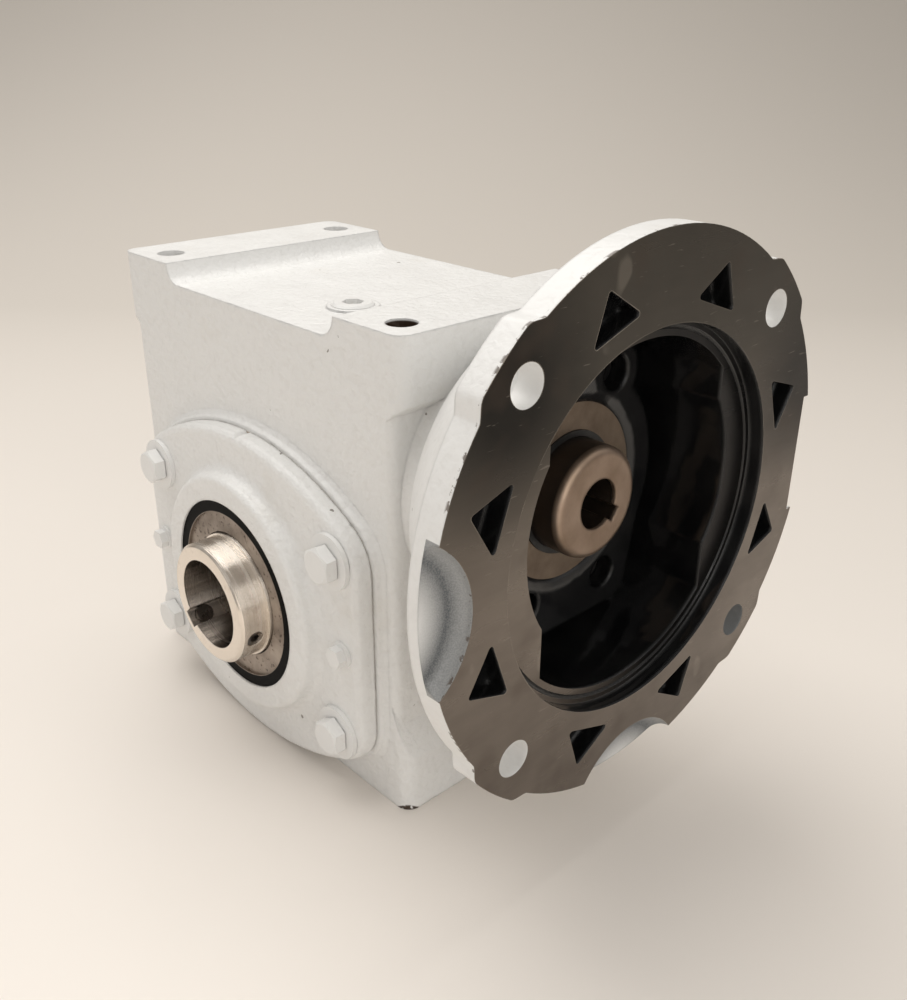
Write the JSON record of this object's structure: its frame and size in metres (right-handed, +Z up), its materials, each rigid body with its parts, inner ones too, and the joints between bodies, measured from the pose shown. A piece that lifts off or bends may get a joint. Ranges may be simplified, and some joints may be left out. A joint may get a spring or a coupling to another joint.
{
  "type": "worm gear reducer",
  "caption": "Right-angle worm gear reducer in a white painted block housing, with a hollow output shaft across it and a round motor flange with a hollow input quill.",
  "frame": {"origin": "middle of the hollow output bore, on its axis and half-way along it", "axes": "+X towards the motor flange, parallel to the worm axis; +Y along the output axis; +Z up, from the output axis towards the worm axis"},
  "size_m": [0.2075, 0.1626, 0.1919],
  "materials": {
    "painted_casting": "satin",
    "flange_casting": "satin",
    "painted_fastener": "satin",
    "shaft_steel": "satin",
    "worm_steel": "satin",
    "bearing_steel": "polished",
    "dark_steel": "satin",
    "wheel_bronze": "satin",
    "bare_iron": "matte",
    "seal_case": "satin",
    "seal_rubber": "matte",
    "gasket_sheet": "matte"
  },
  "bodies": {
    "case": {"housing": "painted_casting", "motor_flange": "flange_casting", "flange_gasket": "gasket_sheet", "flange_screws": "dark_steel", "input_seal": "seal_case", "input_seal_lip": "seal_rubber", "front_bearing_outer_ring": "bearing_steel", "front_bearing_balls": "bearing_steel", "rear_bearing_outer_ring": "bearing_steel", "rear_bearing_balls": "bearing_steel", "rear_end_cap": "painted_fastener", "rear_retaining_ring": "dark_steel", "near_bearing_outer_ring": "bearing_steel", "near_bearing_balls": "bearing_steel", "far_bearing_outer_ring": "bearing_steel", "far_bearing_balls": "bearing_steel", "near_cover": "painted_casting", "far_cover": "painted_casting", "near_cover_gasket": "gasket_sheet", "far_cover_gasket": "gasket_sheet", "near_cover_bolts": "painted_fastener", "far_cover_bolts": "painted_fastener", "near_cover_washers": "painted_fastener", "far_cover_washers": "painted_fastener", "near_cover_small_screws": "painted_fastener", "far_cover_small_screws": "painted_fastener", "near_output_seal": "seal_case", "far_output_seal": "seal_case", "near_output_seal_lip": "seal_rubber", "far_output_seal_lip": "seal_rubber", "fill_plug": "painted_fastener", "drain_plug": "painted_fastener"},
    "worm": {"worm_shaft": "worm_steel", "front_bearing_inner_ring": "bearing_steel", "rear_bearing_inner_ring": "bearing_steel", "worm_snap_ring": "dark_steel"},
    "output": {"output_shaft": "shaft_steel", "wheel_rim": "wheel_bronze", "wheel_hub": "bare_iron", "wheel_key": "dark_steel", "near_spacer": "bearing_steel", "far_spacer": "bearing_steel", "near_bearing_inner_ring": "bearing_steel", "far_bearing_inner_ring": "bearing_steel", "shaft_set_screws": "dark_steel"}
  },
  "joints": [
    {"name": "output_spin", "type": "hinge", "parent": "case", "child": "output", "pos_m": [0, 0, 0], "axis": [0, 1, 0], "continuous": true},
    {"name": "worm_spin", "type": "hinge", "parent": "case", "child": "worm", "pos_m": [0, 0, 0.0524], "axis": [1, 0, 0], "continuous": true}
  ],
  "couplings": [
    {"joint": "worm_spin", "follows": "output_spin", "ratio": -20}
  ]
}
